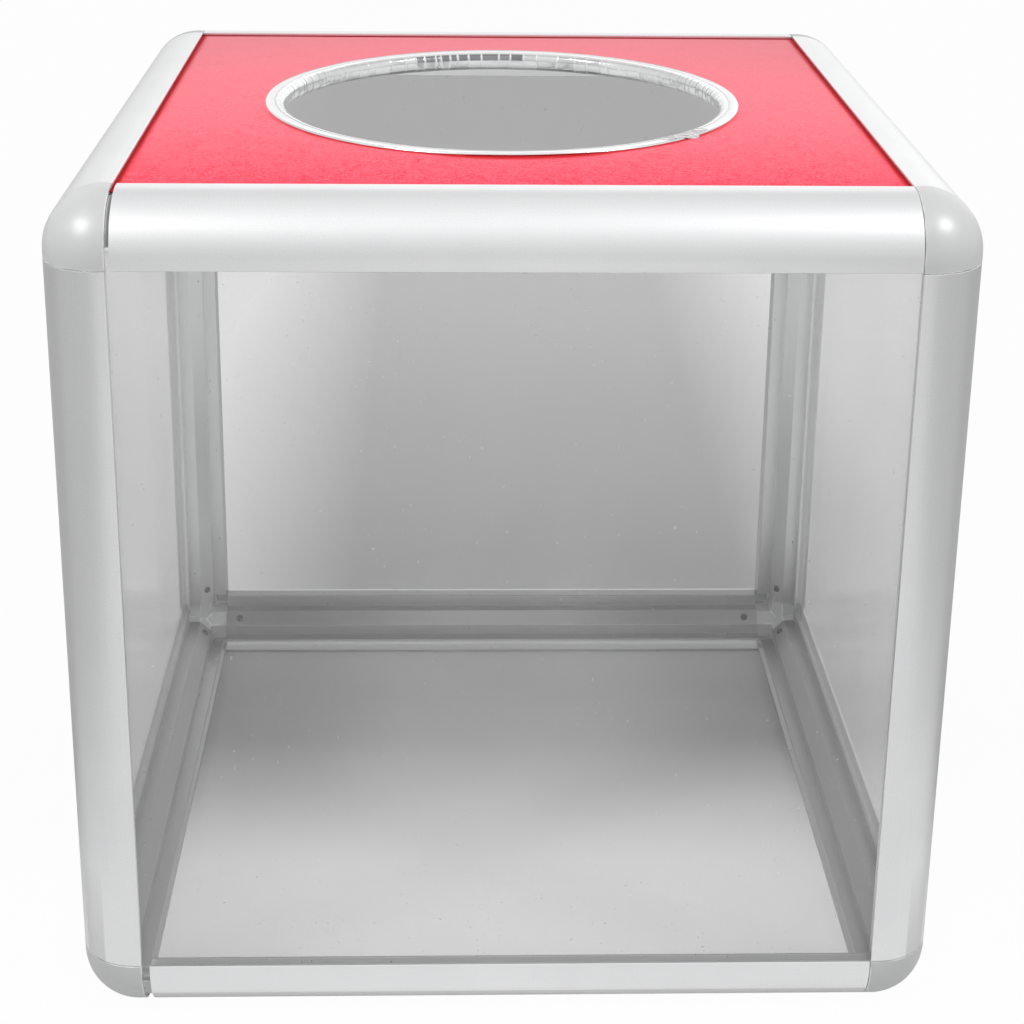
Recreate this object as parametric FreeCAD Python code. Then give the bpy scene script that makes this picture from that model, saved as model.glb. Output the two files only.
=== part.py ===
import FreeCAD, Part
import math
import os

os.makedirs("parts", exist_ok=True)

# Overall box. X is the width, Y runs from the front face to the back one, Z is up.
# The origin is on the floor, under the middle of the box.
BOX_WIDTH = 300.0
BOX_DEPTH = 298.0
BOX_HEIGHT = 298.0

# Edge rail, an aluminium extrusion. Its section is the same on both sides of its diagonal.
# Distances in the section are measured from the two outer planes of the box.
OUTER_RADIUS = 20.0
LIP_STRAIGHT = 2.5
SKIN = 1.3
CHAMBER_SKIN = 1.2
CHAMBER_WALL = 1.0
SLOT_DEPTH = 5.9
INNER_CHAMFER = 5.15
FIN_THICKNESS = 0.9
FIN_SETBACK = 0.7
LIP_EDGE_ROUND = 0.4
LIP_REACH = OUTER_RADIUS + LIP_STRAIGHT
BODY_FACE = LIP_REACH - SLOT_DEPTH

# Panels, held in the slot between a rail's outer lip and its inner fin
PANEL = 4.0
PANEL_CLEARANCE = 0.2
PANEL_EDGE_PLAY = 0.6
PANEL_CORNER_RADIUS = 1.5
PANEL_DEPTH = SKIN + PANEL_CLEARANCE
PANEL_EDGE = BODY_FACE + PANEL_EDGE_PLAY
FIN_FACE = SKIN + PANEL + 2 * PANEL_CLEARANCE

# Play between a rail's square end and the corner, and the wider gaps of the front rails
SEAM = 0.2
FRONT_BOTTOM_GAP = 2.5
FRONT_TOP_GAP = 1.2

# Ball corner, a moulding with a prong for each of its three rails
CORNER_WALL = 1.8
PRONG_CLEARANCE = 0.3
PRONG_LENGTH = 20.0
PRONG_WALL = 2.2
PRONG_LEAD_IN = 1.0

# Screw through a rail's chamfered face into the prong behind it
SCREW_INSET = 6.5
SCREW_HEAD_RADIUS = 1.6
SCREW_HEAD_HEIGHT = 0.9
SCREW_HEAD_BEVEL = 0.5
SCREW_SHANK_RADIUS = 0.9
SCREW_LENGTH = 3.6
SCREW_CLEARANCE = 0.1

# Top: a board with felt glued on it, a round hand hole and a trim round the hole
FELT = 0.4
HOLE_RADIUS = 84.6
HOLE_CENTRE_X = -1.3
HOLE_CENTRE_Y = 4.4

# Hole trim, a U section that hangs over the board's edge. Its ends meet at the front right.
TRIM_WALL = 0.8
TRIM_MOUTH = 5.4
TRIM_LEG = 4.2
TRIM_EDGE_PLAY = 0.1
TRIM_BEND = 3.0
TRIM_JOINT_GAP = 0.5
TRIM_JOINT_ANGLE = -41.5

# Clear tape wrapped over the meeting ends of the trim
TAPE = 0.15
TAPE_LENGTH = 19.0
TAPE_TAIL = 2.5

V = FreeCAD.Vector

# Two lengths or places that differ by less than this are the same one
FINE = 1e-6


def line(start, end):
    """A straight edge between two points."""
    return Part.LineSegment(start, end).toShape()


def arc(centre, radius, start_degrees, end_degrees):
    """An arc in the XY plane, given by its centre and its end angles."""
    def point(degrees):
        turn = math.radians(degrees)
        return centre + V(radius * math.cos(turn), radius * math.sin(turn), 0)
    middle = (start_degrees + end_degrees) / 2
    return Part.Arc(point(start_degrees), point(middle), point(end_degrees)).toShape()


def polyline(points):
    """Straight edges through a list of (x, y) points in the XY plane."""
    corners = [V(x, y, 0) for x, y in points]
    return [line(a, b) for a, b in zip(corners, corners[1:])]


def closed_face(edges):
    """A face inside a closed chain of edges."""
    return Part.Face(Part.Wire(Part.__sortEdges__(edges)))


def block(low, high):
    """A box between two opposite corners."""
    size = high - low
    return Part.makeBox(size.x, size.y, size.z, low)


def rail_outline():
    """The outer outline of the rail's section: skin, lips, slots, fins and chamfered body."""
    fin_back = FIN_FACE + FIN_THICKNESS
    fin_reach = LIP_REACH - FIN_SETBACK
    chamfer_start = BODY_FACE - INNER_CHAMFER
    half = [
        (OUTER_RADIUS, 0),
        (LIP_REACH - LIP_EDGE_ROUND, 0),
        (LIP_REACH, LIP_EDGE_ROUND),
        (LIP_REACH, SKIN),
        (BODY_FACE, SKIN),
        (BODY_FACE, FIN_FACE),
        (fin_reach, FIN_FACE),
        (fin_reach, fin_back),
        (BODY_FACE, fin_back),
        (BODY_FACE, chamfer_start),
    ]
    other_half = [(y, x) for x, y in reversed(half)]
    skin = arc(V(OUTER_RADIUS, OUTER_RADIUS, 0), OUTER_RADIUS, 180, 270)
    return polyline(half + other_half) + [skin]


def chamber_walls(inset):
    """How far the chamber's flat walls and its chamfered wall reach, drawn in by an inset.

    The second number is the sum of the two coordinates of a point on the chamfered wall.
    """
    flat = BODY_FACE - CHAMBER_WALL - inset
    diagonal = 2 * BODY_FACE - INNER_CHAMFER - math.sqrt(2) * (CHAMBER_WALL + inset)
    return flat, diagonal


def chamber_outline(inset):
    """The outline of the rail's hollow chamber, drawn in by an inset on every side."""
    flat, diagonal = chamber_walls(inset)
    radius = OUTER_RADIUS - CHAMBER_SKIN - inset
    fall = OUTER_RADIUS - flat
    near = OUTER_RADIUS - math.sqrt(radius ** 2 - fall ** 2)
    swing = math.degrees(math.asin(fall / radius))
    walls = polyline([(flat, near), (flat, diagonal - flat), (diagonal - flat, flat), (near, flat)])
    skin = arc(V(OUTER_RADIUS, OUTER_RADIUS, 0), radius, 180 + swing, 270 - swing)
    return walls + [skin]


def core_outline():
    """The section of the corner's core: a prong's inner walls, carried out to the box's planes."""
    flat, diagonal = chamber_walls(PRONG_CLEARANCE)
    return polyline([(0, 0), (flat, 0), (flat, diagonal - flat), (diagonal - flat, flat), (0, flat), (0, 0)])


def facet_point(inset, height):
    """The middle of the rail's chamfered face, moved inwards and along the rail."""
    middle = BODY_FACE - INNER_CHAMFER / 2 - inset / math.sqrt(2)
    return V(middle, middle, height)


def screw_hole(height, radius, depth):
    """A drill for one screw, square to the chamfered face."""
    inward = V(-1, -1, 0)
    start = facet_point(-SCREW_HEAD_HEIGHT, height)
    return Part.makeCylinder(radius, SCREW_HEAD_HEIGHT + depth, start, inward)


def make_rail(start, end, screw_heights):
    """A rail along Z between two heights, with a hole for each of its screws."""
    rail = extruded(rail_outline(), start, end).cut(extruded(chamber_outline(0), start, end))
    for height in screw_heights:
        rail = rail.cut(screw_hole(height, SCREW_SHANK_RADIUS + SCREW_CLEARANCE, 2 * CHAMBER_WALL))
    return rail


def make_screw(height):
    """A screw with a bevelled head, seated on the chamfered face."""
    head = Part.makeCylinder(SCREW_HEAD_RADIUS, SCREW_HEAD_HEIGHT)
    rim = [edge for edge in head.Edges if edge.BoundBox.ZMin > SCREW_HEAD_HEIGHT - FINE]
    head = head.makeChamfer(SCREW_HEAD_BEVEL, rim)
    shank = Part.makeCylinder(SCREW_SHANK_RADIUS, SCREW_LENGTH, V(0, 0, -SCREW_LENGTH))
    screw = head.fuse(shank).removeSplitter()
    turn = FreeCAD.Rotation(V(0, 0, 1), V(1, 1, 0))
    screw.Placement = FreeCAD.Placement(facet_point(0, height), turn)
    return screw


def make_ball():
    """A cube as large as the rails' lips reach, its three outer edges rounded into a ball corner."""
    cube = Part.makeBox(LIP_REACH, LIP_REACH, LIP_REACH)
    origin = V(0, 0, 0)
    edges = [
        edge for edge in cube.Edges
        if any(vertex.Point.isEqual(origin, FINE) for vertex in edge.Vertexes)
    ]
    return cube.makeFillet(OUTER_RADIUS, edges)


def extruded(outline, start, end):
    """A bar along Z between two heights, with a section from the XY plane."""
    section = closed_face(outline)
    section.translate(V(0, 0, start))
    return section.extrude(V(0, 0, end - start))


def turned(shape, axis):
    """A shape built along Z, turned so that it runs along the named axis."""
    copy = shape.copy()
    turns = {"x": 120, "y": 240, "z": 0}
    copy.rotate(V(0, 0, 0), V(1, 1, 1), turns[axis])
    return copy


def make_prong():
    """A hollow prong along Z that fills a rail's chamber, with a lead-in and a hole for its screw."""
    tip = LIP_REACH + PRONG_LENGTH
    bar = extruded(chamber_outline(PRONG_CLEARANCE), LIP_REACH, tip)
    tip_edges = [edge for edge in bar.Edges if edge.BoundBox.ZMin > tip - FINE]
    bar = bar.makeChamfer(PRONG_LEAD_IN, tip_edges)
    bore = extruded(chamber_outline(PRONG_CLEARANCE + PRONG_WALL), LIP_REACH, tip)
    drill = screw_hole(LIP_REACH + SCREW_INSET, SCREW_SHANK_RADIUS + SCREW_CLEARANCE, SCREW_LENGTH)
    return bar.cut(bore).cut(drill)


def make_corner():
    """The ball corner at the left, front, bottom of the box, before it is placed.

    Three plates close the box's planes, three bars cross behind them as the core, and a prong
    carries each bar on into its rail. The plates are thinned where the panels' corners lie.
    """
    ball = make_ball()
    plate = block(V(0, 0, 0), V(CORNER_WALL, LIP_REACH, LIP_REACH))
    bar = extruded(core_outline(), 0, LIP_REACH)
    prong = make_prong()
    reach = LIP_REACH + SEAM
    seat = block(V(SKIN, BODY_FACE, BODY_FACE), V(FIN_FACE, reach, reach))
    inside = [turned(piece, axis) for piece in (plate, bar) for axis in "xyz"]
    body = inside[0].multiFuse(inside[1:]).common(ball)
    body = body.multiFuse([turned(prong, axis) for axis in "xyz"])
    for axis in "xyz":
        body = body.cut(turned(seat, axis))
    return body.removeSplitter()


def placed(shape, right=False, back=False, top=False):
    """A shape drawn at the left, front, bottom corner, set into its own corner of the box."""
    result = shape.copy()
    result.translate(V(-BOX_WIDTH / 2, -BOX_DEPTH / 2, 0))
    if right:
        result = result.mirror(V(0, 0, 0), V(1, 0, 0))
    if back:
        result = result.mirror(V(0, 0, 0), V(0, 1, 0))
    if top:
        result = result.mirror(V(0, 0, BOX_HEIGHT / 2), V(0, 0, 1))
    return result


def make_frame_side(axis, length, start_gap=0.0):
    """A rail along one axis and its two screws, before they are placed."""
    screw_place = LIP_REACH + SCREW_INSET
    heights = [screw_place, length - screw_place]
    rail = make_rail(LIP_REACH + SEAM + start_gap, length - LIP_REACH - SEAM, heights)
    screws = [make_screw(height) for height in heights]
    return turned(rail, axis), [turned(screw, axis) for screw in screws]


def make_panel(low, high):
    """A flat panel between two opposite corners of its box, with its four corners rounded."""
    slab = block(low, high)
    thickness = min(high - low)
    short_edges = [edge for edge in slab.Edges if abs(edge.Length - thickness) < FINE]
    return slab.makeFillet(PANEL_CORNER_RADIUS, short_edges)


def make_panels():
    """The four clear side panels and the clear floor panel."""
    side = BOX_WIDTH / 2
    front = -BOX_DEPTH / 2
    x_edge = side - PANEL_EDGE
    y_edge = -front - PANEL_EDGE
    z_low = PANEL_EDGE
    z_high = BOX_HEIGHT - PANEL_EDGE
    near = PANEL_DEPTH
    far = PANEL_DEPTH + PANEL
    return {
        "front_panel": make_panel(V(-x_edge, front + near, z_low), V(x_edge, front + far, z_high)),
        "back_panel": make_panel(V(-x_edge, -front - far, z_low), V(x_edge, -front - near, z_high)),
        "left_panel": make_panel(V(-side + near, -y_edge, z_low), V(-side + far, y_edge, z_high)),
        "right_panel": make_panel(V(side - far, -y_edge, z_low), V(side - near, y_edge, z_high)),
        "floor_panel": make_panel(V(-x_edge, -y_edge, near), V(x_edge, y_edge, far)),
    }


def hole_plug(low, high):
    """A round plug the size of the hand hole, between two heights."""
    return Part.makeCylinder(HOLE_RADIUS, high - low, V(HOLE_CENTRE_X, HOLE_CENTRE_Y, low))


def make_top():
    """The stiff board of the top and the felt that is glued on it, both with the hand hole."""
    x_edge = BOX_WIDTH / 2 - PANEL_EDGE
    y_edge = BOX_DEPTH / 2 - PANEL_EDGE
    face = BOX_HEIGHT - PANEL_DEPTH
    glue_line = face - FELT
    under = face - PANEL
    board = make_panel(V(-x_edge, -y_edge, under), V(x_edge, y_edge, glue_line))
    felt = make_panel(V(-x_edge, -y_edge, glue_line), V(x_edge, y_edge, face))
    return {
        "top_board": board.cut(hole_plug(under, glue_line)),
        "red_felt": felt.cut(hole_plug(glue_line, face)),
    }


def trim_edges(offset, leg_end, tail):
    """Half the trim's outline in the XZ plane: a U of legs, bends and web, moved by an offset."""
    top = BOX_HEIGHT - PANEL_DEPTH + offset
    under = BOX_HEIGHT - PANEL_DEPTH - TRIM_MOUTH - offset
    bend = TRIM_BEND - TRIM_WALL + offset
    web = HOLE_RADIUS - TRIM_EDGE_PLAY - TRIM_BEND + TRIM_WALL - offset
    centre_x = web + bend
    slant = bend * math.sqrt(0.5)
    upper = V(centre_x, 0, top - bend)
    lower = V(centre_x, 0, under + bend)
    return [
        line(V(leg_end, 0, top), V(centre_x, 0, top)),
        Part.Arc(
            V(centre_x, 0, top),
            upper + V(-slant, 0, slant),
            V(web, 0, top - bend),
        ).toShape(),
        line(V(web, 0, top - bend), V(web, 0, under + bend)),
        Part.Arc(
            V(web, 0, under + bend),
            lower + V(-slant, 0, -slant),
            V(centre_x, 0, under),
        ).toShape(),
        line(V(centre_x, 0, under), V(tail, 0, under)),
    ]


def strip_section(inner, outer, leg_end, tail):
    """The closed section of a strip that lies between two offsets of the U."""
    near = trim_edges(inner, leg_end, tail)
    far = trim_edges(outer, leg_end, tail)
    top = BOX_HEIGHT - PANEL_DEPTH
    under = top - TRIM_MOUTH
    ends = [
        line(V(leg_end, 0, top + inner), V(leg_end, 0, top + outer)),
        line(V(tail, 0, under - inner), V(tail, 0, under - outer)),
    ]
    return closed_face(near + far + ends)


def sweep_round_hole(section, start_degrees, degrees):
    """A section carried round the hand hole, from one angle through another."""
    ring = section.revolve(V(0, 0, 0), V(0, 0, 1), degrees)
    ring.rotate(V(0, 0, 0), V(0, 0, 1), start_degrees)
    ring.translate(V(HOLE_CENTRE_X, HOLE_CENTRE_Y, 0))
    return ring


def make_trim():
    """The trim round the hand hole, with the slit where its two ends meet."""
    leg_end = HOLE_RADIUS + TRIM_LEG
    slit = math.degrees(TRIM_JOINT_GAP / HOLE_RADIUS)
    section = strip_section(0, TRIM_WALL, leg_end, leg_end)
    return sweep_round_hole(section, TRIM_JOINT_ANGLE + slit / 2, 360 - slit)


def make_tape():
    """The piece of tape over the trim's joint: on the top leg, round the web, on the lower leg."""
    leg_end = HOLE_RADIUS + TRIM_LEG
    span = math.degrees(TAPE_LENGTH / HOLE_RADIUS)
    section = strip_section(TRIM_WALL, TRIM_WALL + TAPE, leg_end, HOLE_RADIUS + TAPE_TAIL)
    return sweep_round_hole(section, TRIM_JOINT_ANGLE - span / 2, span)


def build():
    """Every piece of the box, by name."""
    nodes = {}
    screws = []

    def add_side(name, axis, length, start_gap=0.0, **where):
        rail, pair = make_frame_side(axis, length, start_gap)
        nodes[name] = placed(rail, **where)
        screws.extend(placed(screw, **where) for screw in pair)

    for side, right in (("left", False), ("right", True)):
        add_side("post_front_" + side, "z", BOX_HEIGHT, right=right)
        add_side("post_back_" + side, "z", BOX_HEIGHT, right=right, back=True)
        add_side("bottom_rail_" + side, "y", BOX_DEPTH, right=right)
        add_side("top_rail_" + side, "y", BOX_DEPTH, right=right, top=True)
    add_side("bottom_rail_front", "x", BOX_WIDTH, FRONT_BOTTOM_GAP)
    add_side("bottom_rail_back", "x", BOX_WIDTH, back=True)
    add_side("top_rail_front", "x", BOX_WIDTH, FRONT_TOP_GAP, top=True)
    add_side("top_rail_back", "x", BOX_WIDTH, back=True, top=True)

    corner = make_corner()
    for level, top in (("bottom", False), ("top", True)):
        for end, back in (("front", False), ("back", True)):
            for side, right in (("left", False), ("right", True)):
                name = "corner_" + level + "_" + end + "_" + side
                nodes[name] = placed(corner, right=right, back=back, top=top)

    nodes["rail_screws"] = Part.makeCompound(screws)
    nodes.update(make_panels())
    nodes.update(make_top())
    nodes["hole_trim"] = make_trim()
    nodes["trim_tape"] = make_tape()
    return nodes


for name, shape in build().items():
    shape.exportStep("parts/" + name + ".step")
    print(name, len(shape.Solids), "solids", round(shape.Volume, 1), "mm3", shape.isValid())
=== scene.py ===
# %% [markdown]
# # A clear draw box in an aluminium edge frame
#
# The box is a cube of clear sheets held by twelve slotted aluminium rails and eight ball corners.
# A stiff board with red felt closes the top, and a bent metal trim lines its round hand hole.
# The CAD model gives every size and place. This script gives each piece its finish, and rebuilds
# the pieces whose look depends on small radii, creases or fibres.

import math

import bpy
import numpy as np
from mathutils import Matrix, Vector
from mathutils.geometry import tessellate_polygon


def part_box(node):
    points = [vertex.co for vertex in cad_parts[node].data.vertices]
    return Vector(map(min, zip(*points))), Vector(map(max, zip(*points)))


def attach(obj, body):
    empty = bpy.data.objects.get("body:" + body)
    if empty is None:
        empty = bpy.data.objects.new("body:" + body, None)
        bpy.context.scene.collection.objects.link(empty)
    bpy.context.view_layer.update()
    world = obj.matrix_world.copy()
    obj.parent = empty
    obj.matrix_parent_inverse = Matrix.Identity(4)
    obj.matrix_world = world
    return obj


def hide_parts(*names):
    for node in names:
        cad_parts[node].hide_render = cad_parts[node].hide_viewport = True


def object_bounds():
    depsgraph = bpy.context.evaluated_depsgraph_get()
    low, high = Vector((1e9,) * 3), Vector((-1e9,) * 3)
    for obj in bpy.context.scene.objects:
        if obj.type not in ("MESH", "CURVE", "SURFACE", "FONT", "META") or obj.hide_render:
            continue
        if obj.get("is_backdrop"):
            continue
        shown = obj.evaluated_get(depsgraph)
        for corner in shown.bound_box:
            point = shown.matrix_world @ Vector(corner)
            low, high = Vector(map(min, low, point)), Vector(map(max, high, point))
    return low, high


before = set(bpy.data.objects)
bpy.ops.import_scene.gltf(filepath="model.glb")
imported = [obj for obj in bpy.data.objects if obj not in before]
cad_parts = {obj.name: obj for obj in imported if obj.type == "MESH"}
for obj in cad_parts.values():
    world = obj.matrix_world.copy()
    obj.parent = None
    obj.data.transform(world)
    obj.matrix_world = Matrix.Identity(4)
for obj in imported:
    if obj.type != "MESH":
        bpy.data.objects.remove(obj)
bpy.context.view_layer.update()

# %% [markdown]
# ## Sizes
#
# All lengths are in metres, as in the CAD model. The rails' section and the trim's section are
# needed again here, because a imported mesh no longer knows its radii. Distances in the rails'
# section are measured from the box's two outer planes. Angles round the hole are counted from its
# right side, so its front is at -90 degrees, and the trim stands off the felt most near that.

# %% Sizes
MM = 0.001
WIDTH, DEPTH, HEIGHT = 300 * MM, 298 * MM, 298 * MM
OUTER_RADIUS = 20 * MM
LIP_REACH = 22.5 * MM
SKIN = 1.3 * MM
BODY_FACE = 16.6 * MM
FIN_FACE = 5.7 * MM
FIN_BACK = 6.6 * MM
FIN_REACH = 21.8 * MM
CHAMFER_START = 11.45 * MM
CHAMBER_FLAT = 15.6 * MM
CHAMBER_RADIUS = 18.8 * MM
CHAMBER_DIAGONAL = 26.636 * MM
HOLE_CENTRE = np.array([-1.3, 4.4]) * MM
HOLE_RADIUS = 84.6 * MM
FELT_FACE = 296.5 * MM
FELT_THICKNESS = 0.4 * MM
TRIM_TOP, TRIM_UNDER = 297.3 * MM, 290.3 * MM
TRIM_WEB, TRIM_LEG_END = 81.5 * MM, 88.8 * MM
TRIM_WALL = 0.8 * MM
TRIM_BEND = 3.0 * MM
TRIM_GROOVE = 3.6 * MM
JOINT_ANGLE = math.radians(-41.5)
JOINT_GAP = 0.5 * MM
GAP_ANGLE = -86
SHEET_CORNER = 1.5 * MM
SAWN_BEVEL = 0.18 * MM
HALF_SIZES = (WIDTH / 2, DEPTH / 2, HEIGHT / 2)
rng = np.random.default_rng(41)
print("box", WIDTH, DEPTH, HEIGHT)

# %% [markdown]
# ## Finishes as expressions
#
# A material is a small calculation. `Wire` wraps one number of it, so that `1 - mask` adds the
# Math node by itself, and `Finish` adds any other node from its type, its settings and its inputs.


# %% Wire and Finish
class Wire:
    """One number that runs through a material. Arithmetic on it adds Math nodes."""

    def __init__(self, finish, socket):
        self.finish = finish
        self.socket = socket

    def math(self, operation, first, second):
        """One Math node on two numbers or wires."""
        return self.finish.node("ShaderNodeMath", {"operation": operation}, {0: first, 1: second})

    def __add__(self, other):
        return self.math("ADD", self, other)

    def __sub__(self, other):
        return self.math("SUBTRACT", self, other)

    def __rsub__(self, other):
        return self.math("SUBTRACT", other, self)

    def __mul__(self, other):
        return self.math("MULTIPLY", self, other)

    def largest(self, other):
        """The larger of this number and another."""
        return self.math("MAXIMUM", self, other)

    def size(self):
        """This number without its sign."""
        return self.math("ABSOLUTE", self, 0.0)

    def power(self, exponent):
        """This number, or 0 where it is below, to a power."""
        return self.math("POWER", self.largest(0.0), exponent)

    __radd__ = __add__
    __rmul__ = __mul__


class Finish:
    """The node tree of a material, or of the world, built node by node."""

    def __init__(self, owner):
        owner.use_nodes = True
        self.owner = owner
        self.tree = owner.node_tree
        self.tree.nodes.clear()

    def node(self, kind, settings=None, inputs=None, output=0):
        """Adds a node: its settings first, then the values or wires of its sockets."""
        node = self.tree.nodes.new(kind)
        for key, value in (settings or {}).items():
            setattr(node, key, value)
        sockets = {socket.identifier: socket for socket in node.inputs}
        for key, value in (inputs or {}).items():
            socket = node.inputs[key] if isinstance(key, int) else sockets.get(key) or node.inputs[key]
            if isinstance(value, Wire):
                self.tree.links.new(value.socket, socket)
            else:
                socket.default_value = value
        found = [socket for socket in node.outputs if output in (socket.identifier, socket.name)]
        return Wire(self, found[0] if found else node.outputs[output]) if node.outputs else None

    def noise(self, scale, detail, vector=None, roughness=0.5, distortion=0.0):
        """Cloudy noise between 0 and 1, drawn out into strokes by a distortion."""
        inputs = {"Scale": scale, "Detail": detail, "Roughness": roughness, "Distortion": distortion}
        inputs["Vector"] = vector or self.place()
        return self.node("ShaderNodeTexNoise", {}, inputs)

    def place(self, source="Object", stretch=(1, 1, 1)):
        """Coordinates on the piece, stretched by three factors."""
        coordinates = self.node("ShaderNodeTexCoord", output=source)
        return self.node("ShaderNodeMapping", {}, {"Vector": coordinates, "Scale": stretch})

    def parts(self, vector):
        """The three numbers of a vector."""
        outputs = self.node("ShaderNodeSeparateXYZ", {}, {0: vector}).socket.node.outputs
        return [Wire(self, socket) for socket in outputs]

    def ramp(self, value, low, high, to_low=0.0, to_high=1.0):
        """A number carried from one range to another and held at the ends."""
        inputs = {"Value": value, "From Min": low, "From Max": high, "To Min": to_low, "To Max": to_high}
        return self.node("ShaderNodeMapRange", {}, inputs)

    def blend(self, share, first, second):
        """A colour between two others."""
        inputs = {"Factor_Float": share, "A_Color": first, "B_Color": second}
        return self.node("ShaderNodeMix", {"data_type": "RGBA"}, inputs, "Result_Color")

    def attribute(self, name):
        """A number that a piece remembers for each of its points."""
        return self.node("ShaderNodeAttribute", {"attribute_name": name}, {}, "Fac")

    def likeness(self, first, second):
        """1 where two directions of length one agree, and less the further they part."""
        settings = {"operation": "DOT_PRODUCT"}
        return self.node("ShaderNodeVectorMath", settings, {0: first, 1: second}, "Value")

    def principled(self, inputs):
        """The general shader, with the values or wires of its sockets by name."""
        return self.node("ShaderNodeBsdfPrincipled", {}, inputs)

    def mix(self, share, first, second):
        """One shader where the share is 0, another where it is 1."""
        return self.node("ShaderNodeMixShader", {}, {0: share, 1: first, 2: second})

    def bump(self, height, strength, distance, normal=None):
        """A surface normal tilted by a height."""
        inputs = {"Height": height, "Strength": strength, "Distance": distance}
        if normal:
            inputs["Normal"] = normal
        return self.node("ShaderNodeBump", {}, inputs)

    def rays(self):
        """What kind of ray is looking, as a dictionary of 0 or 1 by the output's name."""
        outputs = self.node("ShaderNodeLightPath").socket.node.outputs
        return {socket.name: Wire(self, socket) for socket in outputs}

    def towards(self, direction, power):
        """1 where the ray looks in a direction, and less the further it looks away from it."""
        looking = self.node("ShaderNodeTexCoord", output="Generated")
        length = math.sqrt(sum(part * part for part in direction))
        ahead = [part / length for part in direction]
        return self.likeness(looking, ahead).power(power)

    def surface(self, shader, output="ShaderNodeOutputMaterial"):
        """Sets the shader that the material or the world shows."""
        self.node(output, {}, {"Surface": shader})
        print(self.owner.name, len(self.tree.nodes), "nodes")
        return self.owner


def material(name):
    """The finish of a new material."""
    return Finish(bpy.data.materials.new(name))


def grey(level):
    """An even grey as a colour."""
    return (level, level, level, 1.0)


print("Wire and Finish are ready")

# %% [markdown]
# ## Rail finish: satin anodised aluminium
#
# The rails are extruded, blasted and anodised. The die leaves very fine lines along the length,
# and the blasting a grain that one only sees close up. The pattern follows the rail, so it reads
# the piece's own UV map, in metres: round the section, and along the rail.
#
# The faces inside the box near its floor get little light, and their colour is darkened by a painted
# shade, most on those that face up at the back, which mirror the dim inside of the box. The sawn ends
# are raw and rough, and their bevels are painted near white: the bare metal's lighter tone together
# with a painted highlight. In the slots, light runs back and forth between the sheet and the metal more
# often than a render follows it, so a weak painted glow stands in for it there.

# %% Rail finish
rail = material("satin_anodised_aluminium")
die_lines = rail.noise(1.0, 4.0, rail.place("UV", (2600, 9, 1)), 0.6)
blasting = rail.noise(2100, 3.0, rail.place("UV"), 0.75)
handling = rail.noise(38, 4.0)
scuffs = rail.ramp(rail.noise(1.0, 2.0, rail.place("UV", (1500, 160, 1)), 0.5), 0.72, 0.80)
inner_face, sawn_edge, in_slot = [rail.attribute(name) for name in ("inner_face", "sawn_edge", "in_slot")]

_, towards_back, height = rail.parts(rail.place())
# Painted shade: faces inside the box near its floor are darker, most where they face up at the back.
painted_shade_low_inside = inner_face * rail.ramp(height, 0.06, 0.02)
at_back = rail.ramp(towards_back, 0.10, 0.125)
facing_up = rail.ramp(rail.parts(rail.node("ShaderNodeTexCoord", output="Normal"))[2], 0.35, 0.65)
painted_shade_colour = rail.blend(at_back * (0.1 + 0.9 * facing_up), grey(0.62), grey(0.35))
worn = 0.35 * handling + 0.25 * die_lines + 0.4 * rail.ramp(blasting, 0.35, 0.65) + 0.3 * scuffs
open_colour = rail.blend(worn, (0.90, 0.903, 0.91, 1), (0.72, 0.723, 0.73, 1))
rail_colour_with_painted_shade = rail.blend(painted_shade_low_inside, open_colour, painted_shade_colour)

rail_rough = 0.25 + 0.05 * die_lines + 0.10 * blasting + 0.05 * handling + 0.10 * scuffs
rail_height = 0.9 * blasting + 0.4 * die_lines
rail_material = rail.surface(rail.principled({
    # Painted light: a weak glow in the slots stands in for light bouncing between sheet and metal.
    "Emission Color": rail.blend(in_slot, grey(0.0), grey(0.13)), "Emission Strength": 1.0,
    # Painted highlight on the sawn bevels, on top of the bare metal's lighter tone.
    "Base Color": rail.blend(0.8 * sawn_edge, rail_colour_with_painted_shade, grey(0.98)),
    "Metallic": 1.0, "Roughness": rail_rough + 0.35 * sawn_edge,
    "Normal": rail.bump(rail_height, 0.22, 0.00006),
}))

# %% [markdown]
# ## Corner finish: moulded plastic
#
# The ball corners are moulded in silver-grey plastic, a little darker and duller than the metal.
# A moulding has no knife edges, so the normal comes from a Bevel node that rounds each edge by
# less than a millimetre before the faint orange peel of the mould is added. Where that normal
# differs from the flat one lies an edge, and the outer edges get a painted highlight, broken up by
# noise. The faces that look into the box, and the upper prongs in the gap of a rail, get a painted
# shade: a dark grey colour.

# %% Corner finish
corner = material("silver_grey_moulded_plastic")
peel = corner.noise(900, 2.0)
flakes = corner.noise(5200, 1.0)
clouds = corner.noise(30, 3.0)
moulded = corner.blend(0.6 * clouds + 0.4 * flakes, (0.47, 0.473, 0.476, 1), (0.54, 0.543, 0.546, 1))

across, deep, up = corner.parts(corner.place())
from_middle = list(zip([across.size(), deep.size(), (up - HEIGHT / 2).size()], HALF_SIZES))
further_in = [corner.ramp(place, half - 15 * MM, half - 15.8 * MM) for place, half in from_middle]
inside = further_in[0] * further_in[1] * further_in[2]
past_ball = [corner.ramp(place, half - 22.7 * MM, half - 23.1 * MM) for place, half in from_middle]
on_prong = past_ball[0].largest(past_ball[1]).largest(past_ball[2]) * corner.ramp(up, 0.1, 0.2, 0.0, 0.75)
# Painted shade: the corner's faces inside the box and its upper prongs are coloured dark grey.
moulded_with_painted_shade = corner.blend(inside.largest(on_prong), moulded, (0.22, 0.221, 0.224, 1))

rounded = corner.node("ShaderNodeBevel", {"samples": 6}, {"Radius": 0.7 * MM}, "Normal")
flat = corner.node("ShaderNodeTexCoord", output="Normal")
rim = corner.ramp(corner.likeness(rounded, flat), 0.9999, 0.97)
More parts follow.
